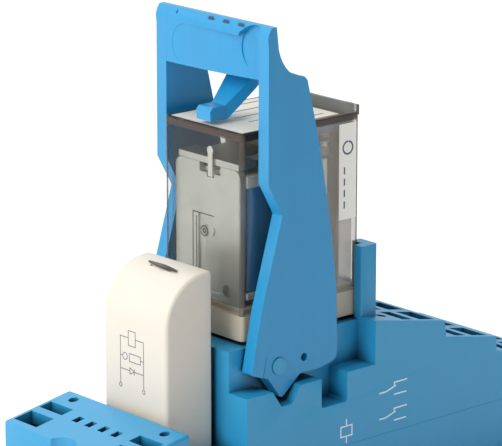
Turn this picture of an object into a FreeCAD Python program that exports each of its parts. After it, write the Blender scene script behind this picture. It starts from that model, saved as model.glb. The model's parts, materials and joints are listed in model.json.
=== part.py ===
"""Plug-in relay in a rail-mount socket, with its retaining clip and plug-in module.

Lengths are in millimetres. X runs along the socket, from the coil terminals to the contact
terminals, Y runs along the rail and +Z points away from the rail. Everything is drawn with z = 0 at
the plane under the relay, and export() lifts it so that the row's origin is on the rail seat.
"""
import FreeCAD, Part

import math
import os

V = FreeCAD.Vector

# ---- driving dimensions -------------------------------------------------------------------------
RAIL_SEAT = -27.5          # face that rests on the rail
BACK = RAIL_SEAT - 4.5     # lowest face of the socket
SPLIT = -21.5              # joint between the two socket mouldings
HALF_WIDTH = 16.5          # socket, half of 33 mm
BASE_HALF = HALF_WIDTH + 0.05  # lower moulding, a hair wider than the upper one
RAIL_HALF = 17.7           # rail channel, half of 35.4 mm
LIP_X = 16.0               # edge of the hooks that reach behind the rail
LIP_Z = RAIL_SEAT - 1.2    # their gripping faces, for a rail 1 mm thick
SEAT_RELIEF = 0.3          # grooves at both ends of the rail seat, over the hooks
TOWER_HALF = 11.7          # central tower between the clip plates
TOWER_TOP = -0.6
TOWER_FRONT = -18.1
TOWER_BACK = 16.2
POCKET_BACK = 12.4         # end of the side pockets that the clip swings in
COIL_FRONT = -45.7         # front face of the coil terminal block
COIL_BACK = -31.0
TROUGH_FLOOR = -18.5       # floor that the module plugs into
FOOT_TOP = -24.0
FOOT_FRONT = -50.5
FOOT_BACK = 61.5
SCREW_FRONT = -47.5
SCREW_BACK = 58.5
SCREW_R = 1.75             # clearance hole for an M3 screw

RELAY_X = 27.7
RELAY_Y = 20.7
RELAY_H = 37.2
COVER_WALL = 0.8
COVER_TOP = 1.4
BASE_H = 4.6               # height of the relay's beige base
POLES = (-6.6, -2.2, 2.2, 6.6)
COLUMNS = (-12.375, -4.125, 4.125, 12.375)
COIL_POLES = (-6.6, 6.6)
COIL_COLUMNS = (-12.375, 12.375)
NC_X = 11.0                # blade rows of the relay
NO_X = 6.4
COM_X = 2.4
COIL_X = -8.4
BLADE_T = 0.5
BLADE_W = 2.6
BLADE_LENGTH = 6.2

CLIP_PIVOT = (-9.3, -4.1)
CLIP_INNER = 12.25         # inner faces of the clip's side plates
CLIP_OUTER = 14.85
TRUNNION_R = 1.5
TRUNNION_GAP = 0.06

GRIP_X = -11.7             # front face of the clip's handle
DISH_Y, DISH_Z, DISH_R = 6.8, 49.9, 3.8
DISH_CURVE = 120.0         # radius of the dish's floor
POCKET_Y, POCKET_Z, POCKET_R = -10.95, 51.5, 4.5
POCKET_X = GRIP_X + 1.45   # floor of the pocket

ARM_PIVOT = (-12.1, 30.0)  # knife edge that the armature rocks on
ARM_TILT = 3.0             # degrees from the released to the pulled-in position
CORE_X = -5.7

MODULE_FRONT = -29.5
MODULE_BACK = -19.0
MODULE_HALF = 8.5
MODULE_TOP = 13.6
MODULE_ARC = 9.0
PIN_X = -24.0

# Contact terminal tiers, nearest the relay first: ends and start height of the sloping top face,
# lowest face of the clamps, ceiling of the clamp lanes and the blade row that the tier serves.
SLOPE = 0.197              # drop of a tier's top face per mm
TIERS = (
    {"name": "nc", "x0": 12.9, "x1": 29.7, "z0": 0.1, "clamp_z": -11.0, "ceiling": -4.7, "pole_x": NC_X},
    {"name": "no", "x0": 30.2, "x1": 43.3, "z0": -6.4, "clamp_z": -16.3, "ceiling": -10.3, "pole_x": NO_X},
    {"name": "com", "x0": 43.4, "x1": 56.3, "z0": -11.8, "clamp_z": -21.1, "ceiling": -15.45, "pole_x": COM_X},
)
COIL_TIER_Z0 = -11.4
COIL_CLAMP_Z = -21.1
COIL_CEILING = -15.4
COIL_SLOPE = 0.17
RELEASE_NEAR = 1.5         # release hole and wire entry, measured inwards from a tier's outer end
RELEASE_FAR = 5.4
ENTRY_NEAR = 7.1
ENTRY_FAR = 9.7
HOLE_Y = 3.15              # half width of the terminal openings
CHAMBER_Y = 3.3            # half width of a clamp chamber
CLAMP_L = 8.6
CLAMP_H = 5.6
CLAMP_Y = 2.5
STRIP_T = 0.8


# ---- shape helpers ------------------------------------------------------------------------------
def box(x0, x1, y0, y1, z0, z1):
    """Box between two corners."""
    return Part.makeBox(x1 - x0, y1 - y0, z1 - z0, V(x0, y0, z0))


def prism_y(points, y0, y1):
    """Polygon of (x, z) points extruded from y0 to y1."""
    wire = Part.makePolygon([V(x, y0, z) for x, z in points + points[:1]])
    return Part.Face(wire).extrude(V(0, y1 - y0, 0))


def profile_y(steps, y0, y1):
    """Outline of lines and arcs in (x, z), extruded from y0 to y1.

    Each step is an end point (x, z), or (middle x, middle z, x, z) for an arc through a middle point.
    """
    edges = []
    here = V(steps[0][0], y0, steps[0][1])
    for step in steps[1:] + steps[:1]:
        there = V(step[-2], y0, step[-1])
        if len(step) == 4:
            edges.append(Part.Arc(here, V(step[0], y0, step[1]), there).toShape())
        else:
            edges.append(Part.makeLine(here, there))
        here = there
    return Part.Face(Part.Wire(edges)).extrude(V(0, y1 - y0, 0))


def prism_z(points, z0, z1):
    """Polygon of (x, y) points extruded from z0 to z1."""
    wire = Part.makePolygon([V(x, y, z0) for x, y in points + points[:1]])
    return Part.Face(wire).extrude(V(0, 0, z1 - z0))


def cyl_y(x, z, r, y0, y1):
    """Cylinder along Y."""
    return Part.makeCylinder(r, y1 - y0, V(x, y0, z), V(0, 1, 0))


def cyl_x(y, z, r, x0, x1):
    """Cylinder along X."""
    return Part.makeCylinder(r, x1 - x0, V(x0, y, z), V(1, 0, 0))


def cyl_z(x, y, r, z0, z1):
    """Cylinder along Z."""
    return Part.makeCylinder(r, z1 - z0, V(x, y, z0), V(0, 0, 1))


def fuse(shapes):
    """One clean solid from touching shapes."""
    return shapes[0].multiFuse(shapes[1:]).removeSplitter() if len(shapes) > 1 else shapes[0]


def mirror_y(shape):
    """The same shape on the other side of the XZ plane."""
    return shape.mirror(V(0, 0, 0), V(0, 1, 0))


def both(shape):
    """A shape and its mirror image across the XZ plane."""
    return [shape, mirror_y(shape)]


def edges_along(shape, axis, spots, reach=0.3):
    """Edges parallel to an axis that pass near the given points in the plane across it."""
    across = [i for i in range(3) if i != axis]
    found = []
    for edge in shape.Edges:
        ends = [v.Point for v in edge.Vertexes]
        if len(ends) != 2:
            continue
        run = ends[1] - ends[0]
        if abs(run[across[0]]) > 0.01 or abs(run[across[1]]) > 0.01:
            continue
        if any(abs(ends[0][across[0]] - a) < reach and abs(ends[0][across[1]] - b) < reach for a, b in spots):
            found.append(edge)
    return found


def rounded(shape, axis, spots, radius):
    """Shape with the named edges rounded."""
    return shape.makeFillet(radius, edges_along(shape, axis, spots))


def rounded_box(x0, x1, y0, y1, z0, z1, radius):
    """Box with its four vertical edges rounded."""
    corners = [(x, y) for x in (x0, x1) for y in (y0, y1)]
    return rounded(box(x0, x1, y0, y1, z0, z1), 2, corners, radius)


def tilt_arm(shape):
    """Turn a part of the armature from pulled-in to released."""
    return shape.rotated(V(ARM_PIVOT[0], 0, ARM_PIVOT[1]), V(0, -1, 0), ARM_TILT)


def coil_spring(start, axis, length, coil_r, wire_r, turns):
    """Helical spring from a start point along an axis, both ends inside the length."""
    pitch = (length - 2 * wire_r) / turns
    helix = Part.makeHelix(pitch, pitch * turns, coil_r)
    section = Part.Wire(Part.makeCircle(wire_r, V(coil_r, 0, 0), V(0, 1, 0)))
    spring = helix.makePipeShell([section], True, True)
    spring.translate(V(0, 0, wire_r))
    turn = FreeCAD.Rotation(V(0, 0, 1), V(*axis))
    spring.Placement = FreeCAD.Placement(V(*start), turn).multiply(spring.Placement)
    return spring


def export(node, shapes):
    """Write one node, lifted so that z = 0 is the rail seat."""
    shape = Part.makeCompound(shapes) if len(shapes) > 1 else shapes[0]
    shape.translated(V(0, 0, -RAIL_SEAT)).exportStep("parts/" + node + ".step")


# ---- socket -------------------------------------------------------------------------------------
def tier_z(tier, x):
    """Height of a terminal tier's top face."""
    return tier["z0"] - SLOPE * (x - tier["x0"])


def coil_top(x):
    """Height of the coil block's top face."""
    return COIL_TIER_Z0 + COIL_SLOPE * (x - COIL_BACK)


def terminal_holes(outer, direction, columns, z0, z1):
    """Wire entries and release holes of one tier, measured inwards from its outer end."""
    holes = []
    for y in columns:
        for near, far in ((RELEASE_NEAR, RELEASE_FAR), (ENTRY_NEAR, ENTRY_FAR)):
            ends = sorted((outer - direction * near, outer - direction * far))
            holes.append(box(ends[0], ends[1], y - HOLE_Y, y + HOLE_Y, z0, z1))
    return holes


def socket_body():
    """Upper moulding: terminal blocks, module trough and the tower that the relay plugs into."""
    nc, no, com = TIERS
    outline = [(COIL_FRONT, SPLIT), (COIL_FRONT, coil_top(COIL_FRONT)), (COIL_BACK, COIL_TIER_Z0),
               (COIL_BACK, TROUGH_FLOOR), (TOWER_FRONT, TROUGH_FLOOR), (TOWER_FRONT, TOWER_TOP),
               (POCKET_BACK, TOWER_TOP), (POCKET_BACK, nc["z0"])]
    for tier in TIERS:
        outline += [(tier["x0"], tier["z0"]), (tier["x1"], tier_z(tier, tier["x1"]))]
    outline.append((com["x1"], SPLIT))
    body = prism_y(outline, -HALF_WIDTH, HALF_WIDTH)
    tops = [(COIL_FRONT, coil_top(COIL_FRONT)), (COIL_BACK, COIL_TIER_Z0)]
    tops += [(tier["x1"], tier_z(tier, tier["x1"])) for tier in TIERS]
    body = rounded(body, 1, tops, 0.45)
    body = rounded(body, 2, [(COIL_FRONT, -HALF_WIDTH), (COIL_FRONT, HALF_WIDTH)], 0.5)

    pocket = profile_y([(-18.3, -8), (-12.1, -8), (-10.1, -11), (-7.5, -11), (-5.55, -8), (-0.6, -8),
                        (-0.6, -13.4), (5.6, -13.4), (5.6, -8), (POCKET_BACK, -8), (POCKET_BACK, 2), (-18.3, 2)],
                       TOWER_HALF, HALF_WIDTH + 1)
    pocket = rounded(pocket, 1, [(-10.1, -11), (-7.5, -11), (-5.55, -8), (-0.6, -13.4), (5.6, -13.4)], 0.5)
    cuts = both(pocket)

    # hollow underneath: contact chamber in the tower, jog room behind it and one lane per terminal
    cuts.append(box(-13.0, 13.0, -10.2, 10.2, SPLIT, -3.6))
    cuts.append(box(13.0, 19.4, -15.2, 15.2, SPLIT, -5.0))
    for y in COLUMNS:
        lane = (y - CHAMBER_Y, y + CHAMBER_Y)
        cuts.append(box(19.4, 28.6, lane[0], lane[1], SPLIT, nc["ceiling"]))
        cuts.append(box(28.6, 42.2, lane[0], lane[1], SPLIT, no["ceiling"]))
        cuts.append(box(42.2, 55.0, lane[0], lane[1], SPLIT, com["ceiling"]))
    for y in COIL_COLUMNS:
        cuts.append(box(-44.5, -32.4, y - CHAMBER_Y, y + CHAMBER_Y, SPLIT, COIL_CEILING))
    cuts.append(box(-34.0, -12.0, -15.2, 15.2, SPLIT, TROUGH_FLOOR - 1.2))

    for tier in TIERS:
        cuts += terminal_holes(tier["x1"], 1, COLUMNS, tier["ceiling"] - 1, 2)
    cuts += terminal_holes(COIL_FRONT, -1, COIL_COLUMNS, COIL_CEILING - 1, 2)
    cuts += [cyl_z(-33.3, y, 0.95, COIL_CEILING - 1, 0) for y in (-12.5, 12.5)]
    cuts += [cyl_z(17.6, y, 0.95, -6, 2) for y in COLUMNS]
    cuts += [box(-39.0, -37.1, y - 0.75, y + 0.75, -16.5, 0) for y in (-5.3, -1.8, 1.75, 5.25)]
    cuts.append(cyl_z(SCREW_FRONT, 0, 3.8, SPLIT, 0))

    # slots for the relay's blades, the module's pins and the clip's ejector lugs
    for x in (NC_X, NO_X, COM_X):
        cuts += [box(x - 0.35, x + 0.35, y - 1.4, y + 1.4, -4, 0) for y in POLES]
    cuts += [box(COIL_X - 0.35, COIL_X + 0.35, y - 1.4, y + 1.4, -4, 0) for y in COIL_POLES]
    cuts += [box(PIN_X - 0.5, PIN_X + 0.5, y - 1.4, y + 1.4, -20, -18) for y in COIL_POLES]
    cuts += both(box(-10.0, -3.2, 9.4, 12.0, -2.9, 1))
    cuts.append(box(12.0, 14.2, -10.75, 10.75, TOWER_TOP, 1))
    body = body.cut(Part.makeCompound(cuts))

    posts = both(fuse([box(POCKET_BACK, TOWER_BACK, 10.75, 12.8, -5.0, 13.0),
                       box(14.2, TOWER_BACK, 8.3, 12.8, -5.0, 13.0)]))
    posts = [rounded(post, 2, [(POCKET_BACK, s * 12.8), (TOWER_BACK, s * 12.8)], 0.5)
             for post, s in zip(posts, (1, -1))]
    rail = box(14.2, TOWER_BACK, -9.0, 9.0, -3.0, 5.0)
    trunnions = both(cyl_y(CLIP_PIVOT[0], CLIP_PIVOT[1], TRUNNION_R, 11.0, 15.1))
    return fuse([body] + posts + [rail] + trunnions)


def socket_base():
    """Lower moulding: feet with screw holes, rail channel with its fixed hook, latch tunnel."""
    outline = [(FOOT_FRONT, BACK), (FOOT_FRONT, FOOT_TOP), (COIL_FRONT, FOOT_TOP), (COIL_FRONT, SPLIT),
               (TIERS[2]["x1"], SPLIT), (TIERS[2]["x1"], FOOT_TOP), (FOOT_BACK, FOOT_TOP), (FOOT_BACK, BACK),
               (RAIL_HALF, BACK), (RAIL_HALF, RAIL_SEAT), (-RAIL_HALF, RAIL_SEAT), (-RAIL_HALF, LIP_Z),
               (-LIP_X, LIP_Z), (-LIP_X - 0.6, -31.4), (-RAIL_HALF, BACK)]
    base = prism_y(outline, -BASE_HALF, BASE_HALF)
    corners = [(x, y) for x in (FOOT_FRONT, FOOT_BACK) for y in (-BASE_HALF, BASE_HALF)]
    base = rounded(base, 2, corners, 1.5)
    cuts = [cyl_z(x, 0, SCREW_R, BACK - 1, FOOT_TOP + 1) for x in (SCREW_FRONT, SCREW_BACK)]
    cuts.append(cyl_z(SCREW_FRONT, 0, 3.8, FOOT_TOP, SPLIT + 1))
    cuts += [box(PIN_X - 1.6, PIN_X + 1.6, y - 1.9, y + 1.9, -24.0, SPLIT) for y in COIL_POLES]
    cuts += [box(*sorted((side * (LIP_X - 0.1), side * RAIL_HALF)), -BASE_HALF, BASE_HALF,
                 RAIL_SEAT, RAIL_SEAT + SEAT_RELIEF) for side in (-1, 1)]
    cuts.append(box(17.0, 54.0, -3.7, 3.7, -31.3, -28.6))
    cuts.append(box(48.0, 54.0, -2.4, 2.4, BACK - 1, -31.0))
    base = base.cut(Part.makeCompound(cuts))
    return fuse([base, box(38.5, 40.0, -1.6, 1.6, -31.4, -28.5)])


def rail_latch():
    """Sliding hook under the socket that grips the second edge of the rail."""
    hook = prism_y([(LIP_X, LIP_Z - 0.1), (LIP_X + 0.6, -31.2), (20.0, -31.2), (20.0, LIP_Z - 0.1)], -3.4, 3.4)
    latch = fuse([hook, box(19.9, 50.0, -3.4, 3.4, -31.2, -28.8)])
    window = box(30.0, 44.0, -1.9, 1.9, -32.0, -28.0)
    tool_slot = box(46.6, 48.2, -2.0, 2.0, -32.0, -28.0)
    return latch.cut(Part.makeCompound([window, tool_slot]))


def strip(tier, pole_y, column_y):
    """Contact strip from under a relay blade to a terminal clamp, as one bent flat bar."""
    z0 = tier["clamp_z"] + 0.65
    z1 = z0 + STRIP_T
    x = tier["pole_x"]
    low, high = sorted((pole_y, column_y))
    return fuse([box(x - 0.4, x + 0.4, pole_y - 1.4, pole_y + 1.4, z0, -7.9),
                 box(x - 0.4, 15.5, pole_y - 1.4, pole_y + 1.4, z0, z1),
                 box(14.0, 15.5, low - 1.4, high + 1.4, z0, z1),
                 box(14.0, tier["x1"] - 2.4, column_y - 1.4, column_y + 1.4, z0, z1)])


def coil_strip(pole_y, column_y):
    """Strip from a coil blade under the trough floor to a coil terminal, pierced for a module pin."""
    z0 = COIL_CLAMP_Z + 0.3
    z1 = z0 + STRIP_T
    low, high = sorted((pole_y, column_y))
    bar = fuse([box(COIL_X - 0.4, COIL_X + 0.4, pole_y - 1.4, pole_y + 1.4, z0, -7.9),
                box(-31.0, COIL_X + 0.4, pole_y - 1.9, pole_y + 1.9, z0, z1),
                box(-31.0, -29.0, low - 1.9, high + 1.4, z0, z1) if pole_y > 0 else
                box(-31.0, -29.0, low - 1.4, high + 1.9, z0, z1),
                box(COIL_FRONT + 3.0, -29.0, column_y - 1.4, column_y + 1.4, z0, z1)])
    return bar.cut(box(PIN_X - 0.46, PIN_X + 0.46, pole_y - 1.36, pole_y + 1.36, z0 - 1, z1 + 1))


def cage_clamp(outer, direction, y, z0, strip_z0):
    """Spring cage round the strip's end: a band with a window for the wire and one for the strip."""
    ends = sorted((outer - direction * 1.5, outer - direction * (1.5 + CLAMP_L)))
    x0, x1 = ends
    outside = rounded(box(x0, x1, y - CLAMP_Y, y + CLAMP_Y, z0, z0 + CLAMP_H), 1,
                      [(x, z) for x in (x0, x1) for z in (z0, z0 + CLAMP_H)], 1.4)
    inside = rounded(box(x0 + 0.5, x1 - 0.5, y - 4, y + 4, z0 + 0.5, z0 + CLAMP_H - 0.5), 1,
                     [(x, z) for x in (x0 + 0.5, x1 - 0.5) for z in (z0 + 0.5, z0 + CLAMP_H - 0.5)], 0.9)
    wire = sorted((outer - direction * ENTRY_NEAR, outer - direction * (ENTRY_FAR + 0.1)))
    window = box(wire[0], wire[1], y - 1.9, y + 1.9, z0 + 2.6, z0 + CLAMP_H + 1)
    inner_end = outer - direction * (1.5 + CLAMP_L)
    slot = box(inner_end - 1, inner_end + 1, y - 1.6, y + 1.6, strip_z0 - 0.1, strip_z0 + STRIP_T + 0.1)
    return outside.cut(Part.makeCompound([inside, window, slot]))


def blade_fork(x, y):
    """Two leaves that grip one relay blade, joined under it."""
    return fuse([box(x - 0.6, x - 0.3, y - 1.3, y + 1.3, -7.9, -4.0),
                 box(x + 0.3, x + 0.6, y - 1.3, y + 1.3, -7.9, -4.0),
                 box(x - 0.6, x + 0.6, y - 1.3, y + 1.3, -7.9, -7.5)])


def module_fork(y):
    """Leaves under a coil strip that grip one module pin."""
    top = COIL_CLAMP_Z + 0.3
    return fuse([box(PIN_X - 0.8, PIN_X - 0.48, y - 1.3, y + 1.3, -23.8, top),
                 box(PIN_X + 0.48, PIN_X + 0.8, y - 1.3, y + 1.3, -23.8, top),
                 box(PIN_X - 0.8, PIN_X + 0.8, y - 1.3, y + 1.3, -23.8, -23.5)])


# ---- retaining clip -----------------------------------------------------------------------------
def grip_hollows():
    """Hollows in the front of the handle: a long dish that deepens to one side, a pocket and a nick."""
    dish = fuse([cyl_x(DISH_Y, DISH_Z, DISH_R, GRIP_X - 1, GRIP_X + 2),
                 box(GRIP_X - 1, GRIP_X + 2, POCKET_Y - POCKET_R, DISH_Y, DISH_Z - DISH_R, DISH_Z + DISH_R)])
    dish = dish.cut(cyl_z(GRIP_X + DISH_CURVE, DISH_Y + DISH_R, DISH_CURVE, 40, 60))
    pocket = fuse([cyl_x(POCKET_Y, POCKET_Z, POCKET_R, GRIP_X - 1, POCKET_X),
                   box(GRIP_X - 1, POCKET_X, -CLIP_INNER, POCKET_Y + POCKET_R - 0.9, POCKET_Z, POCKET_Z + 3.0)])
    pocket = pocket.common(box(GRIP_X - 1, POCKET_X, -CLIP_INNER, 0, 40, 60))
    nick = box(GRIP_X - 1, GRIP_X + 0.5, 9.25, 9.7, 55.1, 57)
    return Part.makeCompound([dish.fuse(pocket), nick])


def retaining_clip():
    """Handle on two side plates, with the tongue that holds the relay down and two ejector lugs."""
    outline = [(-9.9, 56.1), (-9.4, 52.1), (-8.3, 49.5, -6.9, 47.9), (-4.6, 46.9), (-3.2, 46.4, -2.6, 45.2),
               (1.6, 26.2, 4.35, 7.0), (4.6, -4.1), (4.1, -5.4, 2.9, -5.9), (0.3, -6.5), (-4.3, -6.5),
               (-8.0, -9.6), (-8.7, -9.9, -9.4, -9.2), (-11.8, -6.0), (-15.6, -4.65), (-13.2, 6.8),
               (-8.5, 22.8), (-11.75, 28.65), (-11.7, 53.0), (-11.5, 55.3, -10.9, 56.1)]
    plate = profile_y(outline, CLIP_INNER, CLIP_OUTER)
    plate = rounded(plate, 1, [(-15.6, -4.65), (-8.5, 22.8)], 0.5)
    bore = cyl_y(CLIP_PIVOT[0], CLIP_PIVOT[1], TRUNNION_R + TRUNNION_GAP, 12, 15)
    plate = plate.cut(fuse([bore]).fuse(cyl_y(-3.3, -3.7, 0.75, 12, 15)))
    lug = box(-8.3, -4.6, 9.8, CLIP_INNER + 0.2, -2.4, -0.35)
    parts = both(fuse([plate, lug]))

    grip = profile_y([(-11.7, 46.2), (-3.0, 46.2), (-4.6, 46.9), (-6.9, 47.9), (-8.3, 49.5, -9.4, 52.1),
                      (-9.9, 56.1), (-10.9, 56.1), (-11.5, 55.3, -11.7, 53.0)], -CLIP_INNER - 0.2, CLIP_INNER + 0.2)
    parts.append(grip.cut(grip_hollows()))

    tongue = prism_y([(-13.6, 37.95), (-9.9, 37.82), (-9.3, 38.3), (-2.9, 44.4), (-2.9, 46.5), (-5.0, 46.5),
                      (-5.0, 44.9), (-10.2, 40.3), (-13.1, 40.3), (-13.7, 39.6)], -3.5, 3.5)
    half = [(-14, 1.85), (-9.9, 1.85), (-4.5, 3.5), (-2, 3.5)]
    plan = half + [(x, -y) for x, y in reversed(half)]
    parts.append(tongue.common(prism_z(plan, 30, 50)))
    return fuse(parts)


# ---- plug-in module -----------------------------------------------------------------------------
def module_outline(inset, z0):
    """Side outline of the module, with its arched front edge, set in by a wall thickness."""
    r = MODULE_ARC - inset
    cx, cz = MODULE_FRONT + MODULE_ARC, MODULE_TOP - MODULE_ARC
    mid = (cx - r * math.sqrt(0.5), cz + r * math.sqrt(0.5))
    return [(MODULE_BACK - inset, z0), (MODULE_BACK - inset, MODULE_TOP - inset), (cx, MODULE_TOP - inset),
            (mid[0], mid[1], MODULE_FRONT + inset, cz), (MODULE_FRONT + inset, z0)]


def module_housing():
    """White case, open at the bottom, with a light slit in its top."""
    z0 = TROUGH_FLOOR + 0.3
    case = profile_y(module_outline(0, z0), -MODULE_HALF, MODULE_HALF)
    case = rounded(case, 2, [(MODULE_FRONT, s * MODULE_HALF) for s in (1, -1)], 0.7)
    case = rounded(case, 2, [(MODULE_BACK, s * MODULE_HALF) for s in (1, -1)], 0.7)
    hollow = profile_y(module_outline(1.0, z0 - 1), -MODULE_HALF + 1.0, MODULE_HALF - 1.0)
    slit = prism_z([(-23.6, 2.9), (-23.0, 2.9), (-22.6, 0.1), (-23.0, -2.6), (-23.6, -2.6), (-23.3, 0.1)], 10, 15)
    return case.cut(hollow).cut(slit)


def module_base():
    """Plug that closes the module's case and holds its pins."""
    z0 = TROUGH_FLOOR + 0.3
    plug = box(MODULE_FRONT + 1.0, MODULE_BACK - 1.0, -MODULE_HALF + 1.0, MODULE_HALF - 1.0, z0, z0 + 3.0)
    for y in COIL_POLES:
        plug = plug.cut(box(PIN_X - 0.4, PIN_X + 0.4, y - 0.8, y + 0.8, z0 - 1, z0 + 4))
    return plug.cut(box(PIN_X - 3.0, PIN_X - 1.4, -6.6, 6.6, z0 + 1.5, z0 + 4))


def module_pin(y):
    """Flat pin through the module's base, narrow where the base holds it."""
    z0 = TROUGH_FLOOR + 0.3
    return fuse([box(PIN_X - 0.4, PIN_X + 0.4, y - 1.3, y + 1.3, -23.3, z0),
                 box(PIN_X - 0.4, PIN_X + 0.4, y - 0.8, y + 0.8, z0, z0 + 4.6)])


# ---- relay --------------------------------------------------------------------------------------
def relay_cover():
    """Clear case with a recess for the top label and a hood round the test button."""
    hx, hy = RELAY_X / 2, RELAY_Y / 2
    corners = [(x, y) for x in (-hx, hx) for y in (-hy, hy)]
    shell = rounded(box(-hx, hx, -hy, hy, BASE_H, RELAY_H), 2, corners, 0.8)
    top = [e for e in shell.Edges if all(abs(v.Z - RELAY_H) < 0.01 for v in e.Vertexes)]
    shell = shell.makeFillet(0.4, top)
    hood = prism_y([(10.6, 36.5), (10.6, 39.2), (11.3, 39.2), (13.8, 38.3), (13.8, 36.5)], -hy + 0.1, hy - 0.1)
    shell = fuse([shell, hood])
    wall = COVER_WALL
    inside = rounded_box(-hx + wall, hx - wall, -hy + wall, hy - wall, BASE_H - 1, RELAY_H - COVER_TOP, 0.5)
    recess = box(-13.0, 9.7, -9.5, 9.5, RELAY_H - 0.2, RELAY_H + 1)
    well = box(11.2, 13.25, -9.5, 9.5, 30, 45)
    return shell.cut(Part.makeCompound([inside, recess, well]))


def relay_base():
    """Beige header that carries every blade, with a plateau that locates the cover."""
    hx, hy = RELAY_X / 2, RELAY_Y / 2
    flange = rounded_box(-hx, hx, -hy, hy, 0, BASE_H, 0.8)
    plateau = rounded_box(-hx + 0.85, hx - 0.85, -hy + 0.85, hy - 0.85, BASE_H, BASE_H + 1.0, 0.5)
    slots = [box(x - BLADE_T / 2, x + BLADE_T / 2, y - BLADE_W / 2, y + BLADE_W / 2, -1, 8)
             for x, rows in ((NC_X, POLES), (NO_X, POLES), (COM_X, POLES), (COIL_X, COIL_POLES)) for y in rows]
    return fuse([flange, plateau]).cut(Part.makeCompound(slots))


def blade(x, y, top):
    """Flat terminal blade from below the socket's forks to a height inside the relay."""
    return box(x - BLADE_T / 2, x + BLADE_T / 2, y - BLADE_W / 2, y + BLADE_W / 2, -BLADE_LENGTH, top)


def no_terminal(y):
    """Normally open terminal: blade, riser and a shelf under the moving contact."""
    return fuse([blade(NO_X, y, 29.5), box(NO_X - BLADE_T / 2, 9.8, y - 1.3, y + 1.3, 29.0, 29.5)])


def nc_terminal(y):
    """Normally closed terminal: blade, riser and a shelf over the moving contact."""
    return fuse([blade(NC_X, y, 34.2), box(7.2, NC_X + BLADE_T / 2, y - 1.3, y + 1.3, 33.7, 34.2)])


def com_braid(y):
    """Flexible lead from a common terminal to its moving spring."""
    start, middle, end = V(COM_X + 0.1, y, 24.3), V(4.4, y, 27.6), V(3.9, y, 31.55)
    path = Part.Wire([Part.Arc(start, middle, end).toShape()])
    section = Part.Wire(Part.makeCircle(0.35, start, path.Edges[0].tangentAt(path.Edges[0].FirstParameter)))
    return path.makePipeShell([section], True, False)


def bobbin():
    """Coil former: tube, two flanges, a spring pocket and the peg that keeps the armature on its edge."""
    former = fuse([box(-11.3, 0.6, -8.9, 8.9, 6.8, 8.0), box(-11.3, 0.6, -8.9, 8.9, 26.9, 29.0),
                   cyl_z(CORE_X, 0, 3.3, 8.0, 26.9), box(-13.0, -11.2, -1.5, -0.3, 27.9, 29.0),
                   box(-13.0, -12.75, -1.5, -0.3, 27.9, 33.0), cyl_x(-0.9, 32.6, 0.8, -13.0, -12.75)])
    return former.cut(Part.makeCompound([cyl_z(CORE_X, 0, 2.62, 6, 30), cyl_z(-0.9, 0, 1.35, 27.0, 30)]))


def winding(inset):
    """Oval block of the coil between the flanges, grown by an inset."""
    return rounded_box(-11.0 - inset, 0.2 + inset, -8.4 - inset, 8.4 + inset, 8.05, 26.85, 2.0 + inset)


def yoke():
    """Bent steel plate: outer leg with a stamped window and notched top, lower leg under the core."""
    leg = box(-12.7, -11.5, -8.6, 8.6, 5.7, 30.0)
    leg = rounded(leg, 0, [(s * 8.6, 30.0) for s in (1, -1)], 1.5)
    foot = box(-12.7, -1.5, -4.8, 4.8, 5.7, 6.8)
    stamp = box(-12.8, -12.4, -2.9, 2.6, 7.0, 20.9)
    notches = [box(-13, -11, 0.2, 2.2, 28.4, 31), box(-13, -11, -3.4, -1.7, 28.4, 31),
               box(-13, -11, -1.7, 0.2, 27.7, 31), cyl_x(-5.0, 7.9, 1.1, -13, -11)]
    plate = fuse([leg, foot]).cut(Part.makeCompound([stamp] + notches))
    boss = cyl_x(-0.5, 17.9, 1.0, -12.62, -12.3)
    return fuse([plate, boss]).cut(cyl_z(CORE_X, 0, 2.1, 5, 7))


def core():
    """Iron core with its riveted foot and pole face."""
    return fuse([cyl_z(CORE_X, 0, 2.1, 5.7, 7.0), cyl_z(CORE_X, 0, 2.6, 6.8, 29.2),
                 cyl_z(CORE_X, 0, 3.3, 29.0, 29.97)])


def armature():
    """Flat iron plate that rocks on the yoke's top edge, notched round the peg."""
    plate = box(-12.5, 1.2, -5.0, 5.0, 30.02, 31.2)
    head = box(-12.5, -8.6, -8.0, 8.0, 30.02, 31.2)
    return tilt_arm(fuse([plate, head]))


def contact_carrier():
    """Insulating bar on the armature's free end that holds the four moving springs."""
    bar = box(-1.6, 3.2, -8.0, 8.0, 29.7, 32.4)
    lugs = box(0.9, 2.6, -9.2, 9.2, 31.6, 32.4)
    slots = [box(-1.7, 1.2, -5.0, 5.0, 30.02, 31.2)]
    slots += [box(1.3, 3.3, y - 1.5, y + 1.5, 31.25, 31.5) for y in POLES]
    return tilt_arm(fuse([bar, lugs]).cut(Part.makeCompound(slots)))


def moving_spring(y):
    """Leaf that carries a moving contact out from the carrier."""
    leaf = box(1.3, 9.8, y - 1.5, y + 1.5, 31.25, 31.5)
    return tilt_arm(leaf.cut(cyl_z(8.6, y, 0.6, 31, 32)))


def moving_tip(y):
    """Double-headed rivet contact through the end of a leaf."""
    return tilt_arm(fuse([cyl_z(8.6, y, 1.1, 30.75, 31.25), cyl_z(8.6, y, 0.6, 31.25, 31.5),
                          cyl_z(8.6, y, 1.1, 31.5, 32.0)]))


def button():
    """Test button in the hood, with two legs that reach back over the contact carrier."""
    head = prism_y([(11.3, 35.5), (11.3, 39.0), (13.15, 38.35), (13.15, 35.5)], -9.4, 9.4)
    legs = both(fuse([box(2.2, 13.0, 8.3, 9.3, 34.4, 35.5), box(1.2, 2.5, 8.3, 9.3, 33.35, 35.5)]))
    return fuse([head] + legs)


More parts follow.
